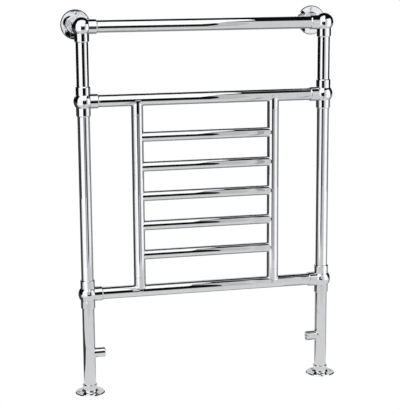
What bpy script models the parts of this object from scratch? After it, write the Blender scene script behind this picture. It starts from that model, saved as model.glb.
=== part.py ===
"""Floor-standing, ball-jointed towel warmer rack.

Chrome-plated brass tubes carry hot water between six ball fittings. Two legs stand on floor flanges, and two stays
tie the top ball fittings to wall flanges. A ladder of rungs hangs between the second and the bottom rail.

Frame: +Z up, -Y is the front, the wall is at +Y. The origin is on the floor, under the middle of the whole object.
Run with: blender --background --python part.py
"""

import math

import bmesh
import bpy
from mathutils import Matrix, Vector

MM = 0.001
SIDES = 16  # facets round a tube or a fitting
SMALL_SIDES = 8  # facets round a screw or the air vent
GAP = 0.3 * MM  # room left between two pieces that meet
OVERRUN = 2 * MM  # how far a cutter runs past the face it opens

# Tubes
TUBE_R = 15.5 * MM
UPRIGHT_R = 15.0 * MM
RUNG_R = 12.7 * MM
STAY_R = 12.5 * MM
WALL = 1.5 * MM

# Where the tubes run
POST_X = 312 * MM
UPRIGHT_X = 177 * MM
TOP_Z = 935 * MM
SECOND_Z = 752 * MM
BOTTOM_Z = 261 * MM
RUNG_COUNT = 5
RUNG_PITCH = 75.8 * MM

# Ball fittings
BALL_R = 24 * MM
SOCKET_R = 18.2 * MM
SOCKET_REACH = 37.5 * MM  # from the ball's centre to the socket's mouth
SOCKET_SEAT = 25.5 * MM  # from the ball's centre to the shoulder that the tube stops at
SOCKET_ROOT = 8 * MM  # where a socket starts inside the ball
WATER_R = 12 * MM
STAY_SOCKET_R = 15.4 * MM
STAY_SOCKET_REACH = 34 * MM

# Stubs that join the inner uprights to the rails
RISER_REACH = 37 * MM  # from the rail's axis to the joint line
SPIGOT_LENGTH = 10 * MM

# Inlet stubs: female half-inch pipe thread, drawn as a plain bore
INLET_Z = 105 * MM
INLET_R = 12.5 * MM
INLET_REACH = 41 * MM
INLET_BORE_R = 9.5 * MM
INLET_BORE_DEPTH = 16 * MM
INLET_WATER_R = 7 * MM

# Flanges
FLANGE_R = 38 * MM
FLANGE_THICK = 3 * MM
FLANGE_EDGE = 1 * MM
COLLAR_R = 18.6 * MM
COLLAR_TOP = 22 * MM
BOSS_R = 20 * MM
BOSS_REACH = 10 * MM
BOSS_LIP_R = 16.5 * MM
BOSS_LIP_REACH = 15 * MM
WALL_DEPTH = 104 * MM  # from the posts' axes to the wall
POST_Y = (FLANGE_R - WALL_DEPTH) / 2  # puts the origin under the middle of the object

# Fasteners
SCREW_CIRCLE_R = 29 * MM
SCREW_COUNT = 3
SCREW_HEAD_R = 4.2 * MM
SCREW_SHANK_R = 2.1 * MM
SCREW_CONE = 2.1 * MM
SCREW_DOME = 0.9 * MM
SLOT_WIDTH = 1.0 * MM
GRUB_R = 2 * MM
GRUB_LENGTH = 2.2 * MM
GRUB_KEY_R = 1.1 * MM

# Air vent behind the top rail
VENT_X = 235 * MM
VENT_BOSS_R = 8 * MM
VENT_BOSS_REACH = 24 * MM
VENT_THREAD_R = 4.9 * MM
VENT_BOSS_START = 10 * MM
VENT_THREAD_END = 17 * MM
VENT_SEAT_THICK = 1.5 * MM
SEAL_THICK = 1.4 * MM
SEAL_R = 7.2 * MM
VENT_HEX_R = 7.5 * MM
VENT_HEX_THICK = 5 * MM
SPINDLE_R = 2.4 * MM
SPINDLE_END = 34 * MM
SPINDLE_SQUARE = 3.2 * MM
SPINDLE_NECK = 4 * MM
SPINDLE_TIP = 1 * MM
VENT_WATER_R = 1.5 * MM

LEFT, RIGHT = -1, 1
SIDE_NAMES = {LEFT: "left", RIGHT: "right"}
X_AXIS = Vector((1, 0, 0))
REAR = Vector((0, 1, 0))
FRONT = Vector((0, -1, 0))
UP = Vector((0, 0, 1))
DOWN = Vector((0, 0, -1))


def clear_scene():
    for old in list(bpy.data.objects):
        bpy.data.objects.remove(old)


def make_collection(name):
    made = bpy.data.collections.new(name)
    bpy.context.scene.collection.children.link(made)
    return made


def make_material(name, colour, metallic, roughness):
    made = bpy.data.materials.new(name)
    made.use_nodes = True
    shader = made.node_tree.nodes["Principled BSDF"]
    shader.inputs["Base Color"].default_value = (*colour, 1)
    shader.inputs["Metallic"].default_value = metallic
    shader.inputs["Roughness"].default_value = roughness
    return made


clear_scene()
RACK = make_collection("towel_warmer_rack")
CUTTERS = make_collection("cutters")
CHROME_TUBE = make_material("chrome_tube", (0.80, 0.81, 0.83), 1.0, 0.04)
CHROME_FITTING = make_material("chrome_fitting", (0.78, 0.79, 0.81), 1.0, 0.05)
SCREW_METAL = make_material("screw_metal", (0.70, 0.71, 0.73), 1.0, 0.15)
VENT_BRASS = make_material("vent_brass", (0.72, 0.55, 0.28), 1.0, 0.25)
SEAL_FIBRE = make_material("seal_rubber", (0.05, 0.05, 0.05), 0.0, 0.8)


# ---- shapes -----------------------------------------------------------------------------------------------------


def place(obj, at, along):
    """Puts the object's origin at a point and turns its own Z to a direction."""
    obj.location = at
    obj.rotation_mode = "QUATERNION"
    obj.rotation_quaternion = along.to_track_quat("Z", "Y")


def solid_mesh(obj):
    """The object's mesh with its modifiers made real, shaded smooth except at sharp edges."""
    graph = bpy.context.evaluated_depsgraph_get()
    mesh = bpy.data.meshes.new_from_object(obj.evaluated_get(graph))
    mesh.shade_smooth()
    mesh.set_sharp_from_angle(angle=math.radians(30))
    return mesh


def turned(name, outline, at, along, material, closed=False, sides=SIDES):
    """A piece turned on a lathe. The outline's (radius, height) points run down its outer side."""
    mesh = bpy.data.meshes.new(name)
    points = [(radius, 0, height) for radius, height in outline]
    edges = [(i, i + 1) for i in range(len(points) - 1)]
    if closed:
        edges.append((len(points) - 1, 0))
    mesh.from_pydata(points, edges, [])
    piece = bpy.data.objects.new(name, mesh)
    RACK.objects.link(piece)
    screw = piece.modifiers.new("turn", "SCREW")
    screw.steps = screw.render_steps = sides
    screw.use_merge_vertices = True
    screw.merge_threshold = 1e-6
    lathe_mesh = solid_mesh(piece)
    piece.modifiers.remove(screw)
    piece.data = lathe_mesh
    bpy.data.meshes.remove(mesh)
    lathe_mesh.name = name
    lathe_mesh.materials.append(material)
    place(piece, at, along)
    return piece


def pipe(name, start, end, radius, material, wall=WALL):
    """A straight tube between two points."""
    run = end - start
    outline = [(radius - wall, run.length), (radius, run.length), (radius, 0), (radius - wall, 0)]
    return turned(name, outline, start, run.normalized(), material, closed=True)


def as_cutter(obj):
    for holder in list(obj.users_collection):
        holder.objects.unlink(obj)
    CUTTERS.objects.link(obj)
    obj.hide_render = True
    obj.display_type = "WIRE"
    return obj


def rod_cutter(name, start, end, radius, sides=SIDES):
    """A hidden round rod between two points."""
    run = end - start
    outline = [(0, run.length), (radius, run.length), (radius, 0), (0, 0)]
    return as_cutter(turned(name, outline, start, run.normalized(), None, sides=sides))


def box_cutter(name, size, at, along):
    mesh = bpy.data.meshes.new(name)
    shape = bmesh.new()
    bmesh.ops.create_cube(shape, size=1)
    bmesh.ops.scale(shape, vec=size, verts=shape.verts)
    shape.to_mesh(mesh)
    shape.free()
    box = bpy.data.objects.new(name, mesh)
    RACK.objects.link(box)
    place(box, at, along)
    return as_cutter(box)


def combine(piece, tool, operation):
    change = piece.modifiers.new(tool.name, "BOOLEAN")
    change.operation = operation
    change.object = tool


def cut(piece, tool):
    combine(piece, tool, "DIFFERENCE")


# ---- tubes and fittings -----------------------------------------------------------------------------------------


def at_post(side, height):
    return Vector((side * POST_X, POST_Y, height))


def at_upright(side, height):
    return Vector((side * UPRIGHT_X, POST_Y, height))


def ball_fitting(name, centre, water_ways, stay_way=None):
    """A cast ball with a socket for each tube. Water ways meet in the middle, and the stay's socket is blind."""
    mesh = bpy.data.meshes.new(name)
    shape = bmesh.new()
    bmesh.ops.create_uvsphere(shape, u_segments=SIDES, v_segments=SIDES // 2 + 1, radius=BALL_R)
    half_facet = Matrix.Rotation(math.pi / SIDES, 3, "Z")  # keeps the ball's edges off the sockets' edges
    bmesh.ops.rotate(shape, matrix=half_facet, verts=shape.verts)
    shape.to_mesh(mesh)
    shape.free()
    mesh.shade_smooth()
    mesh.materials.append(CHROME_FITTING)
    ball = bpy.data.objects.new(name, mesh)
    ball.location = centre
    RACK.objects.link(ball)
    sockets = [(way, SOCKET_R, SOCKET_REACH) for way in water_ways]
    if stay_way:
        sockets.append((stay_way, STAY_SOCKET_R, STAY_SOCKET_REACH))
    for index, (way, radius, reach) in enumerate(sockets):
        root = centre + way * (SOCKET_ROOT + index * GAP)
        combine(ball, rod_cutter(f"{name}_socket_{index}", root, centre + way * reach, radius), "UNION")
    for index, way in enumerate(water_ways):
        mouth = SOCKET_REACH + OVERRUN
        steps = [(0, mouth), (TUBE_R + GAP, mouth), (TUBE_R + GAP, SOCKET_SEAT), (WATER_R, SOCKET_SEAT),
                 (WATER_R, -index * MM), (0, -index * MM)]
        cut(ball, as_cutter(turned(f"{name}_bore_{index}", steps, centre, way, None)))
    if stay_way:
        seat, mouth = centre + stay_way * SOCKET_SEAT, centre + stay_way * (STAY_SOCKET_REACH + OVERRUN)
        cut(ball, rod_cutter(f"{name}_stay_bore", seat, mouth, STAY_R + GAP))
    return ball


def rail(name, height):
    reach = X_AXIS * (POST_X - SOCKET_SEAT - GAP)
    middle = Vector((0, POST_Y, height))
    return pipe(name, middle - reach, middle + reach, TUBE_R, CHROME_TUBE)


def post_tube(name, side, low_ball, high_ball):
    low = at_post(side, low_ball + SOCKET_SEAT + GAP)
    return pipe(name, low, at_post(side, high_ball - SOCKET_SEAT - GAP), TUBE_R, CHROME_TUBE)


def leg(side):
    """A tube with its lower end closed, standing inside the floor flange."""
    name = f"{SIDE_NAMES[side]}_leg"
    low, high = GAP, BOTTOM_Z - SOCKET_SEAT - GAP
    inner = TUBE_R - WALL
    outline = [(0, low + WALL), (inner, low + WALL), (inner, high), (TUBE_R, high), (TUBE_R, low), (0, low)]
    made = turned(name, outline, at_post(side, 0), UP, CHROME_TUBE)
    middle = at_post(side, INLET_Z)
    cut(made, rod_cutter(f"{name}_inlet_hole", middle, middle - side * X_AXIS * 2 * TUBE_R, INLET_WATER_R))
    return made


def inlet_stub(side):
    """The threaded stub where a water pipe connects, pointing inwards from the leg."""
    name = f"{SIDE_NAMES[side]}_inlet_stub"
    start, bore_start, chamfer = 5 * MM, INLET_REACH - INLET_BORE_DEPTH, 1.5 * MM
    outline = [(INLET_WATER_R, bore_start), (INLET_BORE_R, bore_start), (INLET_BORE_R, INLET_REACH),
               (INLET_R - chamfer, INLET_REACH), (INLET_R, INLET_REACH - chamfer), (INLET_R, start),
               (INLET_WATER_R, start)]
    inward = -side * X_AXIS
    made = turned(name, outline, at_post(side, INLET_Z), inward, CHROME_FITTING, closed=True)
    half_span = UP * 2 * TUBE_R
    middle = at_post(side, INLET_Z)
    cut(made, rod_cutter(f"{name}_saddle", middle - half_span, middle + half_span, TUBE_R + GAP))
    return made


def riser_stub(name, side, rail_height, way):
    """Joins an upright to a rail: one end is shaped to the rail, the other is a spigot inside the upright."""
    start, spigot_r = 4 * MM, UPRIGHT_R - WALL - GAP
    bore_r = spigot_r - WALL
    outline = [(bore_r, RISER_REACH + SPIGOT_LENGTH), (spigot_r, RISER_REACH + SPIGOT_LENGTH),
               (spigot_r, RISER_REACH), (UPRIGHT_R, RISER_REACH), (UPRIGHT_R, start), (bore_r, start)]
    made = turned(name, outline, at_upright(side, rail_height), way, CHROME_FITTING, closed=True)
    half_span = X_AXIS * 2 * UPRIGHT_R
    middle = at_upright(side, rail_height)
    cut(made, rod_cutter(f"{name}_saddle", middle - half_span, middle + half_span, TUBE_R + GAP))
    return made


def rung_heights():
    middle = (SECOND_Z + BOTTOM_Z) / 2
    return [middle + RUNG_PITCH * (i - (RUNG_COUNT - 1) / 2) for i in range(RUNG_COUNT)]


def upright(side):
    name = f"{SIDE_NAMES[side]}_inner_upright"
    low, high = BOTTOM_Z + RISER_REACH + GAP, SECOND_Z - RISER_REACH - GAP
    made = pipe(name, at_upright(side, low), at_upright(side, high), UPRIGHT_R, CHROME_TUBE)
    for index, height in enumerate(rung_heights()):
        middle = at_upright(side, height)
        hole_end = middle - side * X_AXIS * 2 * UPRIGHT_R
        cut(made, rod_cutter(f"{name}_hole_{index}", middle, hole_end, RUNG_R - WALL))
    return made


def rung(index, height):
    """A rung whose ends are shaped to the two uprights."""
    name = f"rung_{index + 1}"
    start = 6 * MM
    ends = [at_upright(side, height) - side * X_AXIS * start for side in (LEFT, RIGHT)]
    made = pipe(name, ends[0], ends[1], RUNG_R, CHROME_TUBE)
    for side in (LEFT, RIGHT):
        middle = at_upright(side, height)
        half_span = UP * 2 * RUNG_R
        tool = f"{name}_{SIDE_NAMES[side]}_saddle"
        cut(made, rod_cutter(tool, middle - half_span, middle + half_span, UPRIGHT_R + GAP))
    return made


# ---- flanges and fasteners --------------------------------------------------------------------------------------


def screw_places(centre, along, first_angle):
    """The screws' centres on the flange's face, evenly round its axis."""
    across = X_AXIS
    around = along.cross(across)
    spacing = 2 * math.pi / SCREW_COUNT
    angles = [first_angle + i * spacing for i in range(SCREW_COUNT)]
    return [centre + SCREW_CIRCLE_R * (math.cos(a) * across + math.sin(a) * around) for a in angles]


def screw_outline(extra, depth):
    """Head and shank of a countersunk screw, enlarged by extra for the hole that takes it. Height 0 is the face."""
    cone_end = -SCREW_CONE - extra
    return [(SCREW_HEAD_R + extra, 0), (SCREW_SHANK_R + extra, cone_end), (SCREW_SHANK_R + extra, depth), (0, depth)]


def flange_screw(name, at, along):
    """A countersunk screw, cut off level with the back of the flange: the rest is in the wall or the floor."""
    outline = [(0, SCREW_DOME), (SCREW_HEAD_R * 0.6, SCREW_DOME * 0.7)]
    outline += screw_outline(0, GAP - FLANGE_THICK)
    made = turned(name, outline, at, along, SCREW_METAL, sides=SMALL_SIDES)
    slot = (4 * SCREW_HEAD_R, SLOT_WIDTH, SCREW_DOME * 2)
    cut(made, box_cutter(f"{name}_slot", slot, at + along * SCREW_DOME, along))
    return made


def drill_screw_hole(flange, name, at, along):
    through = -FLANGE_THICK - OVERRUN
    outline = [(0, OVERRUN), (SCREW_HEAD_R + GAP, OVERRUN)] + screw_outline(GAP, through)
    cut(flange, as_cutter(turned(name, outline, at, along, None, sides=SMALL_SIDES)))


def grub_screw(name, flange, centre, way, tube_r, collar_r):
    """A headless locking screw in the flange's collar, and the hole that it sits in."""
    inner = tube_r + 2 * GAP
    outer = inner + GRUB_LENGTH
    outline = [(0, outer), (GRUB_R, outer), (GRUB_R, inner), (0, inner)]
    made = turned(name, outline, centre, way, SCREW_METAL, sides=SMALL_SIDES)
    key_start = centre + way * (outer - GRUB_LENGTH / 2)
    cut(made, rod_cutter(f"{name}_key", key_start, centre + way * (outer + OVERRUN), GRUB_KEY_R, sides=6))
    hole_start, hole_end = centre + way * (tube_r - WALL), centre + way * (collar_r + OVERRUN)
    cut(flange, rod_cutter(f"{name}_hole", hole_start, hole_end, GRUB_R + GAP, sides=SMALL_SIDES))
    return made


def flange(name, base, along, first_angle, outline, grub_height, grub_way, tube_r, collar_r):
    """A flange with its screws and its grub screw. Heights are measured from the base."""
    made = turned(name, outline, base, along, CHROME_FITTING, closed=True)
    face = base + along * FLANGE_THICK
    for index, spot in enumerate(screw_places(face, along, first_angle)):
        flange_screw(f"{name}_screw_{index + 1}", spot, along)
        drill_screw_hole(made, f"{name}_screw_hole_{index + 1}", spot, along)
    grub_screw(f"{name}_grub_screw", made, base + along * grub_height, grub_way, tube_r, collar_r)
    return made


def floor_flange(side):
    bore, rim = TUBE_R + GAP, FLANGE_THICK - FLANGE_EDGE
    lip = 1.5 * MM
    outline = [(bore, COLLAR_TOP), (COLLAR_R - lip, COLLAR_TOP), (COLLAR_R, COLLAR_TOP - lip),
               (COLLAR_R, FLANGE_THICK + lip), (COLLAR_R + lip, FLANGE_THICK),
               (FLANGE_R - FLANGE_EDGE, FLANGE_THICK), (FLANGE_R, rim), (FLANGE_R, 0), (bore, 0)]
    first_angle = 0 if side == RIGHT else math.pi
    grub_height = (FLANGE_THICK + COLLAR_TOP) / 2
    name = f"{SIDE_NAMES[side]}_floor_flange"
    return flange(name, at_post(side, 0), UP, first_angle, outline, grub_height, REAR, TUBE_R, COLLAR_R)


def wall_flange(side):
    bore, rim = STAY_R + GAP, FLANGE_THICK - FLANGE_EDGE
    lip = 1 * MM
    outline = [(bore, BOSS_LIP_REACH), (BOSS_LIP_R - lip, BOSS_LIP_REACH), (BOSS_LIP_R, BOSS_LIP_REACH - lip),
               (BOSS_LIP_R, BOSS_REACH), (BOSS_R - lip, BOSS_REACH), (BOSS_R, BOSS_REACH - lip),
               (BOSS_R, FLANGE_THICK), (FLANGE_R - FLANGE_EDGE, FLANGE_THICK), (FLANGE_R, rim), (FLANGE_R, 0),
               (bore, 0)]
    base = at_post(side, TOP_Z) + REAR * WALL_DEPTH
    top_angle = math.pi / 2  # one screw at the top
    grub_height = (FLANGE_THICK + BOSS_REACH) / 2
    name = f"{SIDE_NAMES[side]}_wall_flange"
    return flange(name, base, FRONT, top_angle, outline, grub_height, DOWN, STAY_R, BOSS_R)


def wall_stay(side):
    start = at_post(side, TOP_Z) + REAR * (SOCKET_SEAT + GAP)
    end = at_post(side, TOP_Z) + REAR * (WALL_DEPTH - GAP)
    return pipe(f"{SIDE_NAMES[side]}_wall_stay", start, end, STAY_R, CHROME_TUBE)


# ---- air vent ---------------------------------------------------------------------------------------------------


def air_vent(top_rail):
    """A boss on the back of the top rail holds the vent body, whose spindle opens when a key turns it."""
    middle = Vector((VENT_X, POST_Y, TOP_Z))
    water_r = VENT_THREAD_R + GAP
    cut(top_rail, rod_cutter("vent_rail_hole", middle, middle + REAR * 2 * TUBE_R, VENT_WATER_R * 2))

    outline = [(water_r, VENT_BOSS_REACH), (VENT_BOSS_R, VENT_BOSS_REACH), (VENT_BOSS_R, VENT_BOSS_START),
               (water_r, VENT_BOSS_START)]
    boss = turned("vent_boss", outline, middle, REAR, CHROME_FITTING, closed=True)
    half_span = X_AXIS * 2 * TUBE_R
    cut(boss, rod_cutter("vent_boss_saddle", middle - half_span, middle + half_span, TUBE_R + GAP))

    seal_low = VENT_BOSS_REACH + GAP
    seal_high = seal_low + SEAL_THICK
    ring = [(water_r, seal_high), (SEAL_R, seal_high), (SEAL_R, seal_low), (water_r, seal_low)]
    turned("vent_seal", ring, middle, REAR, SEAL_FIBRE, closed=True)

    hex_low = seal_high + GAP
    hex_high = hex_low + VENT_HEX_THICK
    spindle_room = SPINDLE_R + GAP
    seat = VENT_THREAD_END + VENT_SEAT_THICK
    shank = [(spindle_room, hex_low + OVERRUN), (VENT_THREAD_R, hex_low + OVERRUN),
             (VENT_THREAD_R, VENT_THREAD_END), (VENT_WATER_R, VENT_THREAD_END), (VENT_WATER_R, seat),
             (spindle_room, seat)]
    body = turned("vent_body", shank, middle, REAR, VENT_BRASS, closed=True, sides=SMALL_SIDES)
    head = [(spindle_room, hex_high), (VENT_HEX_R, hex_high), (VENT_HEX_R, hex_low), (spindle_room, hex_low)]
    combine(body, as_cutter(turned("vent_hex_head", head, middle, REAR, None, closed=True, sides=6)), "UNION")
    bore_start, bore_end = middle + REAR * seat, middle + REAR * (hex_high + OVERRUN)
    cut(body, rod_cutter("vent_body_bore", bore_start, bore_end, spindle_room, sides=SMALL_SIDES))

    tip = seat + GAP
    neck = SPINDLE_END - SPINDLE_NECK
    outline = [(0, neck), (SPINDLE_R, neck), (SPINDLE_R, tip + SPINDLE_TIP), (0, tip)]
    spindle = turned("vent_spindle", outline, middle, REAR, VENT_BRASS, sides=SMALL_SIDES)
    square = (SPINDLE_SQUARE, SPINDLE_SQUARE, 2 * SPINDLE_NECK)
    combine(spindle, box_cutter("vent_spindle_square", square, middle + REAR * neck, REAR), "UNION")


# ---- the whole rack ---------------------------------------------------------------------------------------------


def build_rack():
    top_rail = rail("top_rail", TOP_Z)
    second_rail = rail("second_rail", SECOND_Z)
    bottom_rail = rail("bottom_rail", BOTTOM_Z)
    for side in (LEFT, RIGHT):
        word = SIDE_NAMES[side]
        inward = -side * X_AXIS
        ball_fitting(f"{word}_top_ball", at_post(side, TOP_Z), [inward, DOWN], stay_way=REAR)
        ball_fitting(f"{word}_middle_ball", at_post(side, SECOND_Z), [inward, UP, DOWN])
        ball_fitting(f"{word}_bottom_ball", at_post(side, BOTTOM_Z), [inward, UP, DOWN])
        post_tube(f"{word}_upper_post", side, SECOND_Z, TOP_Z)
        post_tube(f"{word}_middle_post", side, BOTTOM_Z, SECOND_Z)
        leg(side)
        inlet_stub(side)
        upright(side)
        riser_stub(f"{word}_upper_riser_stub", side, SECOND_Z, DOWN)
        riser_stub(f"{word}_lower_riser_stub", side, BOTTOM_Z, UP)
        for holed_rail, height, way in ((second_rail, SECOND_Z, DOWN), (bottom_rail, BOTTOM_Z, UP)):
            middle = at_upright(side, height)
            hole = rod_cutter(f"{holed_rail.name}_{word}_hole", middle, middle + way * 2 * TUBE_R, WATER_R)
            cut(holed_rail, hole)
        floor_flange(side)
        wall_flange(side)
        wall_stay(side)
    for index, height in enumerate(reversed(rung_heights())):
        rung(index, height)
    air_vent(top_rail)


build_rack()
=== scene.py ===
"""The looks of the ball-jointed towel warmer rack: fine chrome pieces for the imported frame, and a studio."""
import math

import bmesh
import bpy
from mathutils import Matrix, Vector


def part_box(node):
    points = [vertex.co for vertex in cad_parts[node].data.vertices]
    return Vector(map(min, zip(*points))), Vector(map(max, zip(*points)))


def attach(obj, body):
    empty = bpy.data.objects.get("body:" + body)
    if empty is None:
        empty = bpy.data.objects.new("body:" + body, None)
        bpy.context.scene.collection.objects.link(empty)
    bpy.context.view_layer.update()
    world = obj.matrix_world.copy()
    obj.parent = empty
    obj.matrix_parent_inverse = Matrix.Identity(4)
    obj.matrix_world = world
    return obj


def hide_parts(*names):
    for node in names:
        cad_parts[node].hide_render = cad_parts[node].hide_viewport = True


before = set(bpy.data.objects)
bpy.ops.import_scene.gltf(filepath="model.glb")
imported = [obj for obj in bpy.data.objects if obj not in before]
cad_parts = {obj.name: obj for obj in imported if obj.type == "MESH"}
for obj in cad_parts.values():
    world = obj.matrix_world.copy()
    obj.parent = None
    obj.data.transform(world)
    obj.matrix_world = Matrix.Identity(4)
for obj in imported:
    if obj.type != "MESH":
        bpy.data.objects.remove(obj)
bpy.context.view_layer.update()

MM = 0.001
ROUND = 96  # facets round a tube or a fitting
BODY = "rack"

X_AXIS, REAR, UP = Vector((1, 0, 0)), Vector((0, 1, 0)), Vector((0, 0, 1))
SIDES = (("left", -1), ("right", 1))


# ---- sizes, from the frame -----------------------------------------------------------------------


def middle(node):
    low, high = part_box(node)
    return (low + high) / 2


def extent(node):
    low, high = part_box(node)
    return high - low


TUBE_R = extent("top_rail").z / 2
UPRIGHT_R = extent("left_inner_upright").x / 2
RUNG_R = extent("rung_1").z / 2
STAY_R = extent("left_wall_stay").x / 2
INLET_R = extent("left_inlet_stub").z / 2
POST_X = middle("right_middle_post").x
POST_Y = middle("right_middle_post").y
UPRIGHT_X = middle("right_inner_upright").x
RAIL_Z = {"top": middle("top_rail").z, "middle": middle("second_rail").z, "bottom": middle("bottom_rail").z}
INLET_Z = middle("left_inlet_stub").z

SOCKET_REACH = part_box("left_middle_ball")[1].z - RAIL_Z["middle"]
STAY_SOCKET_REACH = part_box("left_top_ball")[1].y - POST_Y
INLET_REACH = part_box("left_inlet_stub")[1].x + POST_X
RISER_REACH = RAIL_Z["middle"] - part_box("left_inner_upright")[1].z
FLANGE_R = extent("left_floor_flange").x / 2
COLLAR_TOP = extent("left_floor_flange").z
BOSS_TOP = extent("left_wall_flange").y

BALL_R = 24 * MM
SOCKET_R = 18.2 * MM
STAY_SOCKET_R = 15.4 * MM
WALL = 1.5 * MM
SEAT = 25.5 * MM
WATER_R = 12 * MM
SPIGOT = 10 * MM
SLIP = 0.15 * MM  # the hairline between two pieces that fit together
BRAZED_FILLET = 0.9 * MM
STUB_FILLET = 2.0 * MM
GRUB_R = 2.0 * MM


# ---- meshes --------------------------------------------------------------------------------------


def arc(centre, radius, start, end, steps=6):
    """Points (r, z) along an arc, angles in degrees from the r axis."""
    angles = [math.radians(start + (end - start) * i / steps) for i in range(steps + 1)]
    return [(centre[0] + radius * math.cos(a), centre[1] + radius * math.sin(a)) for a in angles]


def rounded(points, radius, closed=True, steps=5):
    """The outline with each corner rounded, by less where its sides are short.

    A point (r, z, size) sets its own size.
    """
    made = []
    count = len(points)
    for i, point in enumerate(points):
        here = Vector(point[:2])
        size = point[2] if len(point) == 3 else radius
        if size == 0 or (not closed and i in (0, count - 1)):
            made.append(tuple(here))
            continue
        back = Vector(points[i - 1][:2]) - here
        ahead = Vector(points[(i + 1) % count][:2]) - here
        half_angle = back.angle(ahead) / 2
        if half_angle > math.radians(88):
            made.append(tuple(here))
            continue
        reach = min(size / math.tan(half_angle), back.length * 0.49, ahead.length * 0.49)
        start, end = here + back.normalized() * reach, here + ahead.normalized() * reach
        for step in range(steps + 1):
            t = step / steps
            # A quadratic curve through the corner is close to an arc and needs no centre.
            made.append(tuple(start * (1 - t) ** 2 + here * 2 * t * (1 - t) + end * t ** 2))
    return made


def frame_matrix(at, along):
    """Turns local Z to a direction and moves the origin to a point."""
    turn = along.to_track_quat("Z", "Y").to_matrix().to_4x4()
    return Matrix.Translation(at) @ turn


def finish_mesh(shape, name, sharp=32):
    """A bmesh made into a smooth-shaded mesh whose faces point outwards."""
    bmesh.ops.recalc_face_normals(shape, faces=shape.faces)
    mesh = bpy.data.meshes.new(name)
    shape.to_mesh(mesh)
    shape.free()
    mesh.shade_smooth()
    mesh.set_sharp_from_angle(angle=math.radians(sharp))
    return mesh


def guarded(outline, closed):
    """Adds a ring close to each end of a long straight stretch, so that a corner doesn't bend its shading."""
    near, long_enough = 0.25 * MM, 1.2 * MM
    points = [point if len(point) == 3 else (*point, 0) for point in outline]
    made = []
    for index, here in enumerate(points):
        made.append(here)
        if index == len(points) - 1 and not closed:
            break
        ahead = points[(index + 1) % len(points)]
        step = Vector((ahead[0] - here[0], ahead[1] - here[1]))
        if step.length > long_enough:
            shift = step.normalized() * near
            made.append((here[0] + shift.x, here[1] + shift.y, here[2]))
            made.append((ahead[0] - shift.x, ahead[1] - shift.y, ahead[2]))
    return made


def lathe(outline, closed=True, sides=ROUND, host_r=None):
    """A bmesh turned from an outline of (r, z) points.

    A third value of 1 or -1 makes a point follow a host tube that runs along local Y, up or down the axis.
    """
    shape = bmesh.new()
    rings = []
    for r, z, lift in guarded(outline, closed):
        if r < 1e-7:
            rings.append([shape.verts.new((0, 0, z))])
            continue
        ring = []
        for k in range(sides):
            a = 2 * math.pi * k / sides
            x, y = r * math.cos(a), r * math.sin(a)
            saddle = lift * math.sqrt(max(host_r ** 2 - x ** 2, 0)) if lift else 0
            ring.append(shape.verts.new((x, y, z + saddle)))
        rings.append(ring)
    pairs = list(zip(rings, rings[1:]))
    if closed:
        pairs.append((rings[-1], rings[0]))
    for one, two in pairs:
        for k in range(sides):
            n = (k + 1) % sides
            if len(one) == 1 and len(two) == 1:
                break
            if len(one) == 1:
                shape.faces.new((one[0], two[n], two[k]))
            elif len(two) == 1:
                shape.faces.new((one[k], one[n], two[0]))
            else:
                shape.faces.new((one[k], one[n], two[n], two[k]))
    return shape


def piece(name, mesh, slot, node=None, body=BODY, matrix=None):
    """A visible piece that stands for a CAD node and moves with its body."""
    obj = bpy.data.objects.new(name, mesh)
    bpy.context.scene.collection.objects.link(obj)
    if matrix:
        obj.matrix_world = matrix
    mesh.materials.clear()
    mesh.materials.append(MATERIALS[slot])
    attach(obj, body)
    if node:
        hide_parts(node)
    return obj


def boolean(meshes, cutters, name, sharp=32):
    """One mesh: the union of the first (mesh, matrix) pairs, less the cutters."""
    made = []

    def helper(mesh, matrix):
        obj = bpy.data.objects.new("helper", mesh)
        obj.matrix_world = matrix
        bpy.context.scene.collection.objects.link(obj)
        made.append(obj)
        return obj

    base = helper(*meshes[0])
    for kind, group in (("UNION", meshes[1:]), ("DIFFERENCE", cutters)):
        for mesh, matrix in group:
            change = base.modifiers.new(kind, "BOOLEAN")
            change.operation = kind
            change.solver = "MANIFOLD"
            change.object = helper(mesh, matrix)
    bpy.context.view_layer.update()
    graph = bpy.context.evaluated_depsgraph_get()
    result = bpy.data.meshes.new_from_object(base.evaluated_get(graph))
    result.name = name
    result.transform(meshes[0][1])
    result.shade_smooth()
    result.set_sharp_from_angle(angle=math.radians(sharp))
    for obj in made:
        bpy.data.objects.remove(obj)
    return result


# ---- materials -----------------------------------------------------------------------------------


def scaled_noise(tree, scale, detail=3.0):
    """Noise in object space."""
    place = tree.nodes.new("ShaderNodeTexCoord")
    noise = tree.nodes.new("ShaderNodeTexNoise")
    noise.inputs["Scale"].default_value = scale
    noise.inputs["Detail"].default_value = detail
    tree.links.new(place.outputs["Object"], noise.inputs["Vector"])
    return noise


def remap(tree, source, low, high, from_low=0.3, from_high=0.7):
    made = tree.nodes.new("ShaderNodeMapRange")
    made.inputs["From Min"].default_value = from_low
    made.inputs["From Max"].default_value = from_high
    made.inputs["To Min"].default_value = low
    made.inputs["To Max"].default_value = high
    tree.links.new(source, made.inputs["Value"])
    return made.outputs["Result"]


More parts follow.
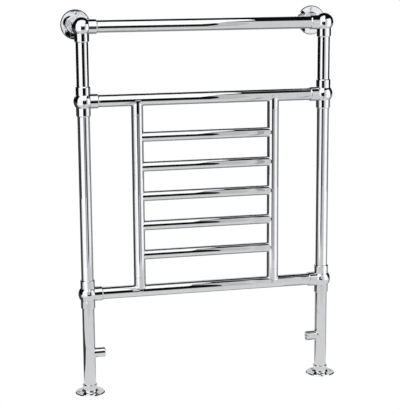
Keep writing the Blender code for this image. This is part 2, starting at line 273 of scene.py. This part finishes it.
def metal(name, dark, light, roughness, grain, wave, wave_depth):
    """Polished metal: a faint change of tone, smears in its polish, and the waviness of a buffed surface.

    Roughness is its (lowest, highest), and grain and wave are noise scales.
    """
    made = bpy.data.materials.new(name)
    made.use_nodes = True
    tree = made.node_tree
    shader = tree.nodes["Principled BSDF"]
    shader.inputs["Metallic"].default_value = 1.0
    smear = scaled_noise(tree, grain)
    tree.links.new(remap(tree, smear.outputs["Fac"], *roughness), shader.inputs["Roughness"])
    tone = tree.nodes.new("ShaderNodeValToRGB")
    tone.color_ramp.elements[0].position, tone.color_ramp.elements[1].position = 0.3, 0.7
    tone.color_ramp.elements[0].color = (*dark, 1)
    tone.color_ramp.elements[1].color = (*light, 1)
    tree.links.new(smear.outputs["Fac"], tone.inputs["Fac"])
    tree.links.new(tone.outputs["Color"], shader.inputs["Base Color"])
    ripple = scaled_noise(tree, wave, detail=1.0)
    bump = tree.nodes.new("ShaderNodeBump")
    bump.inputs["Strength"].default_value = 1.0
    bump.inputs["Distance"].default_value = wave_depth
    tree.links.new(ripple.outputs["Fac"], bump.inputs["Height"])
    tree.links.new(bump.outputs["Normal"], shader.inputs["Normal"])
    return made


def rubber(name):
    made = bpy.data.materials.new(name)
    made.use_nodes = True
    tree = made.node_tree
    shader = tree.nodes["Principled BSDF"]
    grain = scaled_noise(tree, 2500)
    tone = tree.nodes.new("ShaderNodeValToRGB")
    tone.color_ramp.elements[0].color = (0.012, 0.012, 0.012, 1)
    tone.color_ramp.elements[1].color = (0.035, 0.035, 0.037, 1)
    tree.links.new(grain.outputs["Fac"], tone.inputs["Fac"])
    tree.links.new(tone.outputs["Color"], shader.inputs["Base Color"])
    tree.links.new(remap(tree, grain.outputs["Fac"], 0.6, 0.8), shader.inputs["Roughness"])
    return made


MATERIALS = {
    "chrome_tube": metal("chrome_tube", dark=(0.76, 0.77, 0.79), light=(0.80, 0.81, 0.83),
                         roughness=(0.008, 0.02), grain=90, wave=60, wave_depth=5e-7),
    "chrome_fitting": metal("chrome_fitting", dark=(0.75, 0.76, 0.78), light=(0.79, 0.80, 0.82),
                            roughness=(0.01, 0.025), grain=160, wave=110, wave_depth=5e-7),
    "screw_metal": metal("screw_metal", dark=(0.62, 0.63, 0.65), light=(0.72, 0.73, 0.75),
                         roughness=(0.08, 0.2), grain=900, wave=700, wave_depth=6e-6),
    "vent_brass": metal("vent_brass", dark=(0.60, 0.42, 0.18), light=(0.72, 0.55, 0.27),
                        roughness=(0.18, 0.32), grain=700, wave=900, wave_depth=8e-6),
    "seal_rubber": rubber("seal_rubber"),
}


# ---- tubes ---------------------------------------------------------------------------------------


def at_post(side, height):
    return Vector((side * POST_X, POST_Y, height))


def at_upright(side, height):
    return Vector((side * UPRIGHT_X, POST_Y, height))


def tube_mesh(name, radius, length):
    """A hollow tube with lightly rounded ends."""
    inner = radius - WALL
    outline = rounded([(inner, 0), (inner, length), (radius, length), (radius, 0)], 0.35 * MM, steps=3)
    return finish_mesh(lathe(outline), name)


def long_tube(node_name, radius):
    """A straight tube along its CAD node's longest side."""
    low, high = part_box(node_name)
    size = high - low
    axis = max(range(3), key=lambda i: size[i])
    along = Vector([1.0 if i == axis else 0.0 for i in range(3)])
    start = middle(node_name)
    start[axis] = low[axis]
    mesh = tube_mesh(node_name, radius, size[axis])
    piece(f"{node_name}_tube", mesh, "chrome_tube", node_name, matrix=frame_matrix(start, along))


def branch_matrix(at, along, host):
    """Local Z runs along the branch and local Y along the host tube."""
    turn = Matrix((host.cross(along), host, along)).transposed().to_4x4()
    return Matrix.Translation(at) @ turn


def fillet_ring(radius, size, way, steps=5):
    """A small concave fillet where a branch meets its host, as outline points from the host's surface."""
    made = []
    for i in range(steps + 1):
        a = math.radians(90 * i / steps)
        made.append((radius + size * (1 - math.sin(a)), way * size * (1 - math.cos(a)), way))
    return made


def root(radius, bore, fillet, way=1, sink=0.5 * MM):
    """The outline of a branch's end on its host: under the surface, then the fillet."""
    return [(bore, -way * sink, way), (radius + fillet, -way * sink, way)] + fillet_ring(radius, fillet, way)


def shift_z(points, by):
    return [(r, z + by, lift) for r, z, lift in points]


def rung(node_name):
    """A rung between the inner uprights, with a small brazed fillet at each end."""
    length = 2 * UPRIGHT_X
    near = root(RUNG_R, RUNG_R - WALL, BRAZED_FILLET)
    far = shift_z(root(RUNG_R, RUNG_R - WALL, BRAZED_FILLET, way=-1), length)
    shape = lathe(near + far[::-1], host_r=UPRIGHT_R)
    matrix = branch_matrix(at_upright(-1, middle(node_name).z), X_AXIS, UP)
    piece(f"{node_name}_tube", finish_mesh(shape, node_name), "chrome_tube", node_name, matrix=matrix)


def riser_stub(node_name, side, height, way):
    """The short stub that carries an upright: filleted to the rail, with a spigot inside the upright."""
    spigot_r = UPRIGHT_R - WALL - SLIP
    bore = spigot_r - WALL
    spigot_end = RISER_REACH + SPIGOT
    edge, bulge = 0.5 * MM, 0.15 * MM
    end = [(UPRIGHT_R, RISER_REACH - edge), (UPRIGHT_R - bulge, RISER_REACH - bulge),
           (UPRIGHT_R - edge, RISER_REACH), (spigot_r, RISER_REACH), (spigot_r, spigot_end - edge),
           (spigot_r - edge, spigot_end), (bore, spigot_end)]
    shape = lathe(root(UPRIGHT_R, bore, STUB_FILLET) + end, host_r=TUBE_R)
    matrix = branch_matrix(at_upright(side, height), way, X_AXIS)
    piece(f"{node_name}_fitting", finish_mesh(shape, node_name), "chrome_fitting", node_name, matrix=matrix)


def inlet_stub(word, side):
    """The threaded port on a leg, with a rounded face and thread crests inside."""
    name = f"{word}_inlet_stub"
    crest, pitch, depth = 9.3 * MM, 1.81 * MM, 16 * MM
    groove, runout = 0.75 * MM, 0.3 * MM
    lead_out, lead_high, lead_low = 0.9 * MM, 0.4 * MM, 1.3 * MM
    thread = [(crest + lead_out, INLET_REACH - lead_high), (crest, INLET_REACH - lead_low)]
    z = INLET_REACH - lead_low - runout
    while z - pitch > INLET_REACH - depth:
        thread += [(crest, z), (crest + groove, z - pitch * 0.42), (crest, z - pitch * 0.84)]
        z -= pitch
    water = 7 * MM
    bottom = INLET_REACH - depth
    thread += [(crest, bottom), (water, bottom)]
    edge = 2.2 * MM
    corner = arc((INLET_R - edge, INLET_REACH - edge), edge, 0, 90)
    face = [(INLET_R, INLET_REACH - edge)] + corner[1:]
    outline = [(*p, 0) if len(p) == 2 else p for p in root(INLET_R, water, STUB_FILLET) + face + thread]
    shape = lathe(outline, host_r=TUBE_R)
    matrix = branch_matrix(at_post(side, INLET_Z), -side * X_AXIS, UP)
    piece(f"{name}_port", finish_mesh(shape, name), "chrome_fitting", name, matrix=matrix)


# ---- fittings ------------------------------------------------------------------------------------


def collar_mesh(radius, reach, inside):
    """A socket's collar, with its lip drawn in at the mouth."""
    lip_height, lip_depth = 2.0 * MM, 1.6 * MM
    outline = [(0, inside), (radius, inside), (radius, reach - lip_height, 6 * MM),
               (radius - lip_depth, reach, 0.8 * MM), (0, reach)]
    return finish_mesh(lathe(rounded(outline, 0, closed=False, steps=6), closed=False), "collar")


def bore_mesh(mouth_r, seat, reach, water_r=0.0):
    """The space inside a socket: the tube's seat and, past it, the water way."""
    over = 3 * MM
    outline = [(mouth_r, reach + over), (mouth_r, seat)]
    outline += [(water_r, seat), (water_r, -1 * MM)] if water_r else []
    outline = [(0, reach + over)] + outline + [(0, outline[-1][1])]
    return finish_mesh(lathe(outline, closed=False), "bore")


def ball_fitting(node_name, centre, water_ways, stay_way=None):
    """A ball with a socket for each tube, cut out to the tubes' seats and the water ways.

    The ball is turned a little and no two sockets have quite the same inner sizes, because the Boolean needs
    surfaces that don't coincide.
    """
    shape = bmesh.new()
    bmesh.ops.create_uvsphere(shape, u_segments=ROUND, v_segments=ROUND // 2 + 1, radius=BALL_R)
    turn = Matrix.Rotation(math.radians(1.3), 3, "Z") @ Matrix.Rotation(math.radians(0.7), 3, "X")
    bmesh.ops.rotate(shape, matrix=turn, verts=shape.verts)
    ball = finish_mesh(shape, node_name)
    solids = [(ball, Matrix.Translation(centre))]
    tools = []
    for index, way in enumerate(water_ways):
        place = frame_matrix(centre, way)
        solids.append((collar_mesh(SOCKET_R, SOCKET_REACH, (6 + 0.4 * index) * MM), place))
        tools.append((bore_mesh(TUBE_R + SLIP, SEAT, SOCKET_REACH, WATER_R - 0.2 * index * MM), place))
    if stay_way:
        place = frame_matrix(centre, stay_way)
        solids.append((collar_mesh(STAY_SOCKET_R, STAY_SOCKET_REACH, 7 * MM), place))
        tools.append((bore_mesh(STAY_R + SLIP, SEAT, STAY_SOCKET_REACH), place))
    mesh = boolean(solids, tools, node_name)
    piece(f"{node_name}_casting", mesh, "chrome_fitting", node_name)


# ---- flanges and fasteners -----------------------------------------------------------------------

SCREW_HEAD_R = 4.2 * MM
SCREW_SHANK_R = 2.1 * MM
SCREW_CONE = 2.1 * MM
SCREW_DOME = 0.9 * MM
PLATE = 3 * MM
COUNTERSINK_ROOM = 0.35 * MM
EDGE = 0.3 * MM  # the rounding of a flange's plain edges


def box_mesh(size, taper=1.0):
    """A box centred on the origin whose lower end is scaled by taper."""
    shape = bmesh.new()
    bmesh.ops.create_cube(shape, size=1)
    for vert in shape.verts:
        narrow = taper if vert.co.z < 0 else 1.0
        vert.co = Vector((vert.co.x * size[0] * narrow, vert.co.y * size[1] * narrow, vert.co.z * size[2]))
    return finish_mesh(shape, "box")


def countersunk_screw_mesh():
    """A raised countersunk screw with a cross recess. Its face is at z = 0."""
    head_edge = 0.15 * MM
    dome = [(0, SCREW_DOME)]
    for i in range(1, 9):
        t = i / 8
        dome.append((SCREW_HEAD_R * t, SCREW_DOME * (1 - t * t)))
    outline = dome + [(SCREW_HEAD_R, -head_edge), (SCREW_SHANK_R, -SCREW_CONE - head_edge),
                      (SCREW_SHANK_R, 0.3 * MM - PLATE), (0, 0.3 * MM - PLATE)]
    head = finish_mesh(lathe(outline, closed=False, sides=48), "screw")
    depth = 2.2 * MM
    place = Matrix.Translation((0, 0, SCREW_DOME - depth * 0.18))
    span, slot, taper = 4.6 * MM, 0.85 * MM, 0.45
    wings = [(box_mesh((span, slot, depth), taper), place), (box_mesh((slot, span, depth), taper), place)]
    return boolean([(head, Matrix.Identity(4))], wings, "flange_screw")


def grub_mesh():
    """A headless screw with a hexagon socket, its outer end at z = 0."""
    radius, length, edge = GRUB_R, 2.2 * MM, 0.25 * MM
    outline = [(0, 0), (radius - edge, 0), (radius, -edge), (radius, edge - length), (radius - edge, -length),
               (0, -length)]
    body = finish_mesh(lathe(outline, closed=False, sides=40), "grub")
    key_r, over, key_depth, drill_depth = 1.15 * MM, 1 * MM, 1.1 * MM, 1.5 * MM
    socket = finish_mesh(lathe([(0, over), (key_r, over), (key_r, -key_depth), (0, -drill_depth)],
                               closed=False, sides=6), "socket")
    return boolean([(body, Matrix.Identity(4))], [(socket, Matrix.Identity(4))], "grub_screw")


def screw_hole_mesh():
    """The space of a countersunk hole, with its mouth at z = 0. It runs past both faces of the plate."""
    over = 4 * MM
    head_r, shank_r = SCREW_HEAD_R + COUNTERSINK_ROOM, SCREW_SHANK_R + COUNTERSINK_ROOM
    outline = [(0, over), (head_r, over), (head_r, -0.1 * MM), (shank_r, -SCREW_CONE - COUNTERSINK_ROOM),
               (shank_r, -PLATE - over), (0, -PLATE - over)]
    return finish_mesh(lathe(outline, closed=False, sides=48), "screw_hole")


def plug_mesh(radius, length):
    """A plain cylinder that cuts a hole."""
    outline = [(0, length), (radius, length), (radius, 0), (0, 0)]
    return finish_mesh(lathe(outline, closed=False, sides=40), "plug")


def flange(node_name, outline, along, grub_way):
    """A turned flange with its countersunk holes, and the screws in them."""
    low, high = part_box(node_name)
    base = (low + high) / 2
    for i in range(3):
        if abs(along[i]) > 0.5:
            base[i] = low[i] if along[i] > 0 else high[i]
    place = frame_matrix(base, along)
    body = finish_mesh(lathe(outline), node_name)
    holes = []
    for number in (1, 2, 3):
        screw_node = f"{node_name}_screw_{number}"
        spot = middle(screw_node)
        face = spot - along * (spot - base).dot(along) + along * PLATE
        matrix = frame_matrix(face, along)
        # Each screw is left at its own angle, as a screwdriver leaves it.
        turn = Matrix.Rotation(math.radians(17 + 41 * number), 4, "Z")
        piece(screw_node + "_head", FLANGE_SCREW.copy(), "screw_metal", screw_node, matrix=matrix @ turn)
        holes.append((screw_hole_mesh(), matrix))
    grub_node = f"{node_name}_grub_screw"
    spot = middle(grub_node)
    outer = spot + grub_way * extent(grub_node).dot(Vector(abs(c) for c in grub_way)) / 2
    grub_place = frame_matrix(outer, grub_way)
    piece(grub_node + "_body", GRUB_SCREW.copy(), "screw_metal", grub_node, matrix=grub_place)
    hole_length, hole_inside = 14 * MM, 3 * MM
    hole_place = frame_matrix(spot - grub_way * hole_inside, grub_way)
    holes.append((plug_mesh(GRUB_R + SLIP, hole_length), hole_place))
    mesh = boolean([(body, place)], holes, node_name)
    piece(f"{node_name}_body", mesh, "chrome_fitting", node_name)


def rim():
    """The bevelled edge of a flange plate, from its face to its back."""
    bevel_in, bevel_down = 2.0 * MM, 2.3 * MM
    return [(FLANGE_R - bevel_in, PLATE, EDGE), (FLANGE_R, PLATE - bevel_down, EDGE), (FLANGE_R, 0, EDGE)]


def floor_flange_outline():
    bore, collar = TUBE_R + SLIP, 18.6 * MM
    outline = [(bore, COLLAR_TOP, EDGE), (collar, COLLAR_TOP, 1.4 * MM), (collar, PLATE, 3.5 * MM), *rim(),
               (bore, 0, EDGE)]
    return rounded(outline, 0.5 * MM, steps=8)


def wall_flange_outline():
    bore, boss, lip = STAY_R + SLIP, 20 * MM, 16.5 * MM
    shoulder = 10 * MM
    outline = [(bore, BOSS_TOP, EDGE), (lip, BOSS_TOP, 1.6 * MM), (lip, shoulder, 0.8 * MM),
               (boss, shoulder, 1.8 * MM), (boss, PLATE, 5 * MM), *rim(), (bore, 0, EDGE)]
    return rounded(outline, 0.5 * MM, steps=8)


FLANGE_SCREW = countersunk_screw_mesh()
GRUB_SCREW = grub_mesh()


# ---- air vent ------------------------------------------------------------------------------------


def hexagon_mesh(radius, low, high):
    outline = [(0, high), (radius, high), (radius, low), (0, low)]
    return finish_mesh(lathe(outline, closed=False, sides=6), "hexagon")


def depth_range(node_name):
    """Where a node begins and ends along the vent's axis, measured from the rail's axis."""
    low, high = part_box(node_name)
    return low.y - POST_Y, high.y - POST_Y


def vent_boss(at, bore):
    """The boss brazed to the back of the top rail."""
    radius = extent("vent_boss").x / 2
    top = depth_range("vent_boss")[1]
    edge = 0.6 * MM
    end = [(radius, top - edge), (radius - edge, top), (bore, top)]
    shape = lathe(root(radius, bore, 1.2 * MM) + end, host_r=TUBE_R)
    piece("vent_boss_turning", finish_mesh(shape, "vent_boss"), "chrome_fitting", "vent_boss",
          matrix=branch_matrix(at, REAR, X_AXIS))


def vent_seal(place, bore):
    """The sealing ring between the boss and the vent's hexagon."""
    low, high = depth_range("vent_seal")
    radius = extent("vent_seal").x / 2
    ring = rounded([(bore, high), (radius, high), (radius, low), (bore, low)], 0.45 * MM)
    piece("vent_seal_ring", finish_mesh(lathe(ring), "vent_seal"), "seal_rubber", "vent_seal", matrix=place)


def vent_body(place):
    """The hexagon and its shank, bored through for the spindle."""
    shank_low, hex_high = depth_range("vent_body")
    hex_low = depth_range("vent_seal")[1] + 0.3 * MM
    overlap, shank_r, edge = 2 * MM, 4.7 * MM, 0.5 * MM
    hole_r, floor = 2.65 * MM, 1.5 * MM
    head = hexagon_mesh(extent("vent_body").x / 2, hex_low, hex_high)
    shank_top = hex_low + overlap
    outline = [(0, shank_top), (shank_r, shank_top), (shank_r, shank_low + edge), (shank_r - edge, shank_low),
               (0, shank_low)]
    shank = finish_mesh(lathe(outline, closed=False), "shank")
    hole = plug_mesh(hole_r, hex_high - shank_low)
    hole_place = place @ Matrix.Translation((0, 0, shank_low + floor))
    mesh = boolean([(head, place), (shank, place)], [(hole, hole_place)], "vent_body")
    piece("vent_body_turning", mesh, "vent_brass", "vent_body")


def vent_spindle(place):
    """The spindle, with a conical tip that closes the vent and a square for the bleed key."""
    radius = extent("vent_spindle").x / 2
    tip, end = depth_range("vent_spindle")
    neck, edge, cone = end - 4 * MM, 0.3 * MM, 1 * MM
    stem = finish_mesh(lathe([(0, neck), (radius - edge, neck), (radius, neck - edge), (radius, tip + cone),
                              (0, tip)], closed=False, sides=48), "stem")
    across, length = 3.2 * MM, 6 * MM
    square = box_mesh((across, across, length))
    square_place = place @ Matrix.Translation((0, 0, end - length / 2))
    mesh = boolean([(stem, place), (square, square_place)], [], "vent_spindle")
    piece("vent_spindle_turning", mesh, "vent_brass", "vent_spindle", body="vent_spindle")


def air_vent():
    at = middle("vent_body")
    at.y = POST_Y
    place = frame_matrix(at, REAR)
    bore = 5.0 * MM
    vent_boss(at, bore)
    vent_seal(place, bore)
    vent_body(place)
    vent_spindle(place)


# ---- build ---------------------------------------------------------------------------------------


def build_tubes():
    for name in ("top_rail", "second_rail", "bottom_rail"):
        long_tube(name, TUBE_R)
    for word, _ in SIDES:
        for part in ("upper_post", "middle_post", "leg"):
            long_tube(f"{word}_{part}", TUBE_R)
        long_tube(f"{word}_inner_upright", UPRIGHT_R)
        long_tube(f"{word}_wall_stay", STAY_R)


def build_balls():
    for word, side in SIDES:
        inward = -side * X_AXIS
        ball_fitting(f"{word}_top_ball", at_post(side, RAIL_Z["top"]), [inward, -UP], stay_way=REAR)
        ball_fitting(f"{word}_middle_ball", at_post(side, RAIL_Z["middle"]), [inward, UP, -UP])
        ball_fitting(f"{word}_bottom_ball", at_post(side, RAIL_Z["bottom"]), [inward, UP, -UP])


def build_branches():
    for number in range(1, 6):
        rung(f"rung_{number}")
    for word, side in SIDES:
        riser_stub(f"{word}_upper_riser_stub", side, RAIL_Z["middle"], -UP)
        riser_stub(f"{word}_lower_riser_stub", side, RAIL_Z["bottom"], UP)
        inlet_stub(word, side)


def build_flanges():
    for word, _ in SIDES:
        flange(f"{word}_floor_flange", floor_flange_outline(), UP, REAR)
        flange(f"{word}_wall_flange", wall_flange_outline(), -REAR, -UP)


build_tubes()
build_balls()
build_branches()
build_flanges()
air_vent()


# ---- studio --------------------------------------------------------------------------------------


WHITE = (1, 1, 1)
NEARLY_BLACK = (0.006, 0.006, 0.007)
FRONT_Y = POST_Y - 0.9  # the flats in front of the rack
REAR_Y = 3.0  # the flats behind it
FLOOR_SPLIT_Y = 0.05  # where the floor's front cards end and its rear ones begin


def emission(name, colour, strength=1.0):
    made = bpy.data.materials.new(name)
    made.use_nodes = True
    tree = made.node_tree
    tree.nodes.clear()
    glow = tree.nodes.new("ShaderNodeEmission")
    glow.inputs["Color"].default_value = (*colour, 1)
    glow.inputs["Strength"].default_value = strength
    out = tree.nodes.new("ShaderNodeOutputMaterial")
    tree.links.new(glow.outputs["Emission"], out.inputs["Surface"])
    return made


def only_in_reflections(obj):
    obj.visible_camera = False
    obj.visible_diffuse = False
    obj.visible_shadow = False
    obj.visible_transmission = False


def card(name, corners, level):
    """A panel that shows only in the chrome: a lit flat, or the lit floor."""
    mesh = bpy.data.meshes.new(name)
    mesh.from_pydata([tuple(c) for c in corners], [], [tuple(range(len(corners)))])
    obj = bpy.data.objects.new(name, mesh)
    bpy.context.scene.collection.objects.link(obj)
    mesh.materials.append(emission(name, WHITE, level))
    only_in_reflections(obj)


def floor_card(name, x, y, level):
    z = -0.1 * MM
    card(name, [(x[0], y[0], z), (x[1], y[0], z), (x[1], y[1], z), (x[0], y[1], z)], level)


def wall_card(name, start, end, top, level, bottom=0.0):
    """An upright card between two points (x, y) of the floor plan."""
    card(name, [(*start, bottom), (*end, bottom), (*end, top), (*start, top)], level)


def taper_card(name, x, y, heights, halves, level):
    """An upright card that faces the front and narrows from its lower to its upper edge."""
    (low, high), (wide, narrow) = heights, halves
    card(name, [(x - wide, y, low), (x + wide, y, low), (x + narrow, y, high), (x - narrow, y, high)], level)


def on_top(x, away):
    """A point of the overhead flat, which slopes up from the front to above the rack."""
    return x, POST_Y - away, 2.033 - 0.927 * away


def white_floor():
    """The floor that the camera sees. The chrome reflects the floor cards in its place."""
    mesh = bpy.data.meshes.new("floor")
    reach = 60
    corners = [(-reach, -reach, 0), (reach, -reach, 0), (reach, reach, 0), (-reach, reach, 0)]
    mesh.from_pydata(corners, [], [(0, 1, 2, 3)])
    floor = bpy.data.objects.new("floor", mesh)
    floor.location.z = -0.2 * MM
    bpy.context.scene.collection.objects.link(floor)
    mesh.materials.append(emission("floor", WHITE))
    floor.visible_glossy = False


def white_world():
    world = bpy.data.worlds.new("studio")
    bpy.context.scene.world = world
    world.use_nodes = True
    background = world.node_tree.nodes["Background"]
    background.inputs["Color"].default_value = (*WHITE, 1)
    background.inputs["Strength"].default_value = 1.0


def dark_room():
    """What the chrome reflects wherever there is no card."""
    mesh = bpy.data.meshes.new("dark_room")
    shape = bmesh.new()
    bmesh.ops.create_uvsphere(shape, u_segments=32, v_segments=16, radius=8)
    shape.to_mesh(mesh)
    shape.free()
    room = bpy.data.objects.new("dark_room", mesh)
    bpy.context.scene.collection.objects.link(room)
    mesh.materials.append(emission("dark_room", NEARLY_BLACK))
    only_in_reflections(room)


def floor_cards():
    front_far, front_near, rear = POST_Y - 1.35, POST_Y - 0.7, 5.2
    floor_card("floor_near", (-3, 3), (front_near, FLOOR_SPLIT_Y), level=0.78)
    floor_card("floor_front", (-3, 3), (front_far, front_near), level=0.7)
    floor_card("floor_back_left", (-6, -0.36), (FLOOR_SPLIT_Y, rear), level=0.06)
    floor_card("floor_back_right", (-0.36, 7), (FLOOR_SPLIT_Y, rear), level=0.3)
    shade = ((-0.46, 0.06), (-0.49, 0.03), (-0.70, -0.15), (-0.85, 0), (-0.95, 0.06))
    card("floor_shade", [(x, y, 0.1 * MM) for x, y in shade], level=0.02)


def flats():
    """The upright flats round the rack. The two narrow ones are there for the wall flanges."""
    wall_card("left_flat", (-0.53, FRONT_Y), (-1.6, -0.32), top=2.4, level=1.25)
    wall_card("rear_flat", (-0.8, REAR_Y), (2.2, REAR_Y), bottom=0.93, top=1.3, level=0.72)
    wall_card("rear_high_flat", (-2.2, REAR_Y), (2.6, REAR_Y), bottom=1.35, top=2.7, level=1.0)
    wall_card("flange_flat", (-0.215, FRONT_Y), (-0.125, FRONT_Y), bottom=0.865, top=0.925, level=0.85)

    near, mid, far, right_top = 0.26, 0.36, 0.72, 1.62
    wall_card("right_edge_flat", (near, FRONT_Y), (mid, FRONT_Y), right_top, level=0.6)
    wall_card("right_flat", (mid, FRONT_Y), (far, FRONT_Y), right_top, level=0.74)
    wall_card("right_bright_flat", (far, FRONT_Y), (1.5, -0.28), right_top, level=1.25)
    behind = FRONT_Y + 0.01
    wall_card("right_flange_flat", (0.57, behind), (0.70, behind), bottom=0.84, top=0.93, level=1.05)

    edge = ((-1.2, 1.05), (0.24, 1.05), (0.26, 0.62), (0.36, 0.42), (0.39, 0.09), (-1.2, 0.09))
    card("top_flat", [on_top(x, away) for x, away in edge], level=1.3)


def gap_cards():
    """A narrow two-stage card close before each post and inner upright, reflected down its middle."""
    y = POST_Y - 0.08
    low, waist, high = 0.27, 0.5, 0.71
    for name, x, half in (("left_post_gap", -POST_X + 0.005, 0.016),
                          ("right_post_gap", POST_X - 0.02, 0.014),
                          ("left_upright_gap", -UPRIGHT_X + 0.005, 0.014),
                          ("right_upright_gap", UPRIGHT_X - 0.015, 0.014)):
        taper_card(name, x, y, (low, waist), (half, 0.8 * half), level=0.68)
        taper_card(name + "_top", x, y, (waist, high), (0.8 * half, 0.6 * half), level=0.45)


def soft_light():
    """Light for what isn't chrome, such as the sealing ring."""
    soft = bpy.data.lights.new("soft_light", "AREA")
    soft.shape = "RECTANGLE"
    soft.size, soft.size_y = 2.5, 2.0
    soft.energy = 12
    lamp = bpy.data.objects.new("soft_light", soft)
    lamp.location = (-0.6, -1.2, 2.6)
    aim = Vector((0, 0, 0.3))
    lamp.rotation_euler = (aim - lamp.location).to_track_quat("-Z", "Y").to_euler()
    lamp.visible_glossy = False
    bpy.context.scene.collection.objects.link(lamp)


def studio():
    white_floor()
    white_world()
    dark_room()
    floor_cards()
    flats()
    gap_cards()
    soft_light()
    bpy.context.scene.view_settings.view_transform = "Standard"


def camera():
    """The photograph's viewpoint: a little above the top rail, and to the left of the rack."""
    unit = POST_X  # half the posts' spacing, in which the camera's place is given
    left, away, above_rail = 2.4752 * unit, 9.9631 * unit, 0.5369 * unit
    yaw, pitch, roll = 0.2383, -0.1930, -0.0068
    forward = Vector((math.sin(yaw) * math.cos(pitch), math.cos(yaw) * math.cos(pitch), math.sin(pitch)))
    level = Vector((math.cos(yaw), -math.sin(yaw), 0))
    over = level.cross(forward)
    right = level * math.cos(roll) + over * math.sin(roll)
    above = over * math.cos(roll) - level * math.sin(roll)
    data = bpy.data.cameras.new("camera")
    data.sensor_width = 36
    data.lens = 111.94
    data.clip_start, data.clip_end = 0.05, 200
    cam = bpy.data.objects.new("camera", data)
    turn = Matrix((right, above, -forward)).transposed().to_4x4()
    place = Vector((-left, POST_Y - away, RAIL_Z["top"] + above_rail))
    cam.matrix_world = Matrix.Translation(place) @ turn
    bpy.context.scene.collection.objects.link(cam)
    bpy.context.scene.camera = cam


studio()
camera()
